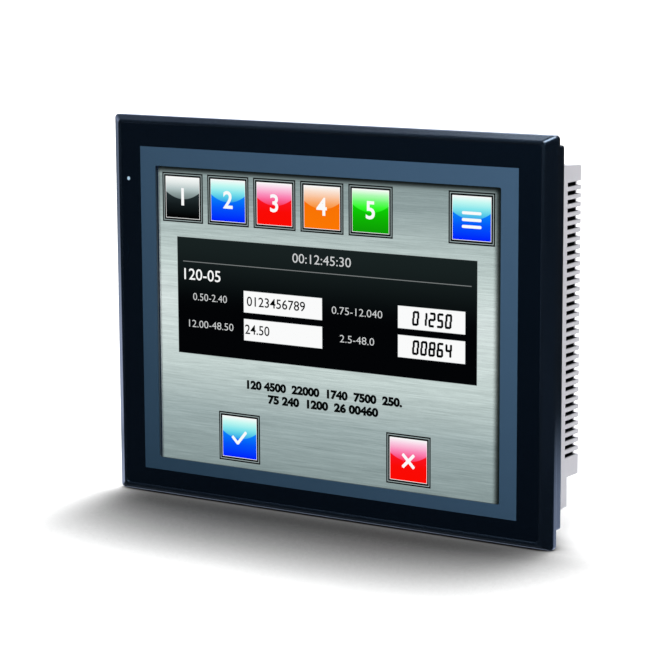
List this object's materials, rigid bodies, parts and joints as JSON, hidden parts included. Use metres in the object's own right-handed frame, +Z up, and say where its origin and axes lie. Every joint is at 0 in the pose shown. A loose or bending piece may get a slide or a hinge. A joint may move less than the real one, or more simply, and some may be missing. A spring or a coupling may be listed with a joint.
{
  "type": "hmi touch panel",
  "caption": "Panel-mount operator terminal with a colour touch screen behind a bevelled front, a vented rear cover and ports on its underside.",
  "frame": {"origin": "centre of the panel cut-out, in the plane where the bezel's flange meets the panel", "axes": "+X to the right seen from the front, +Y from the front to the back, +Z up"},
  "size_m": [0.315, 0.0485, 0.241],
  "materials": {
    "black_case": "satin",
    "front_film": "satin",
    "lamp_lens": "gloss",
    "circuit_board": "satin",
    "gasket_foam": "matt",
    "touch_glass": "gloss",
    "white_moulding": "matt",
    "display_glass": "gloss",
    "clear_acrylic": "gloss",
    "lamp_glass": "gloss",
    "rubber_holder": "matt",
    "sheet_steel": "satin",
    "steel_screw": "bright",
    "brass_post": "satin",
    "component_yellow": "matt",
    "capacitor_can": "satin",
    "component_dark": "matt",
    "black_aluminium": "anodised",
    "connector_plastic": "matt",
    "ribbon_film": "satin",
    "grey_case": "matt",
    "battery_wrap": "satin",
    "spring_steel": "satin",
    "grey_button": "matt",
    "switch_blue": "matt",
    "switch_white": "matt",
    "port_shell": "nickel plated",
    "terminal_green": "matt"
  },
  "bodies": {
    "terminal": {"front_bezel": "black_case", "front_sheet": "front_film", "run_lamp_lens": "lamp_lens", "run_lamp_board": "circuit_board", "panel_gasket": "gasket_foam", "touch_panel": "touch_glass", "touch_panel_seal": "gasket_foam", "lcd_frame": "white_moulding", "lcd_glass": "display_glass", "diffuser_sheet": "white_moulding", "light_guide": "clear_acrylic", "backlight_lamps": "lamp_glass", "lamp_holders": "rubber_holder", "lcd_back_tray": "sheet_steel", "chassis_plate": "sheet_steel", "chassis_screws": "steel_screw", "short_standoffs": "brass_post", "long_standoffs": "brass_post", "board_screws": "steel_screw", "power_board": "circuit_board", "inverter_board": "circuit_board", "main_board": "circuit_board", "power_transformer": "component_yellow", "power_capacitors": "capacitor_can", "power_choke": "component_dark", "inverter_transformers": "component_yellow", "cpu_chip": "component_dark", "cpu_heat_sink": "black_aluminium", "memory_chips": "component_dark", "board_capacitors": "capacitor_can", "expansion_connector": "connector_plastic", "display_ribbon": "ribbon_film", "rear_cover": "grey_case", "rear_cover_screws": "steel_screw", "expansion_cover": "grey_case", "expansion_cover_screws": "steel_screw", "battery": "battery_wrap", "battery_contacts": "spring_steel", "card_slot_guide": "connector_plastic", "eject_lever_pin": "steel_screw", "reset_switch_body": "connector_plastic", "terminator_switch_body": "switch_blue", "serial_port_a": "port_shell", "serial_port_b": "port_shell", "port_jackscrews": "steel_screw", "ethernet_jack": "port_shell", "usb_host_port": "port_shell", "usb_device_port": "port_shell", "power_terminal_block": "terminal_green", "terminal_screws": "steel_screw"},
    "battery_lid": {"battery_cover": "grey_case"},
    "eject_button": {"card_eject_button": "grey_button"},
    "eject_lever": {"card_eject_lever": "spring_steel"},
    "reset": {"reset_button": "grey_button"},
    "terminator_1": {"terminator_slider_1": "switch_white"},
    "terminator_2": {"terminator_slider_2": "switch_white"}
  },
  "joints": [
    {"name": "battery_lid_hinge", "type": "hinge", "parent": "terminal", "child": "battery_lid", "pos_m": [-0.102, 0.0399, 0.0849], "axis": [1, 0, 0], "range_deg": [0, 100]},
    {"name": "eject_press", "type": "slide", "parent": "terminal", "child": "eject_button", "axis": [1, 0, 0], "range_m": [0, 0.005]},
    {"name": "eject_lever_turn", "type": "hinge", "parent": "terminal", "child": "eject_lever", "pos_m": [-0.1115, 0.0284, 0.003], "axis": [0, -1, 0], "range_deg": [0, 14.4]},
    {"name": "reset_press", "type": "slide", "parent": "terminal", "child": "reset", "axis": [0, -1, 0], "range_m": [0, 0.0008], "stiffness_N_per_m": 1000, "springref_m": -0.0004},
    {"name": "terminator_1_slide", "type": "slide", "parent": "terminal", "child": "terminator_1", "axis": [0, 0, 1], "range_m": [0, 0.0014]},
    {"name": "terminator_2_slide", "type": "slide", "parent": "terminal", "child": "terminator_2", "axis": [0, 0, 1], "range_m": [0, 0.0014]}
  ],
  "couplings": [
    {"joint": "eject_lever_turn", "follows": "eject_press", "rad_per_m": 50}
  ]
}
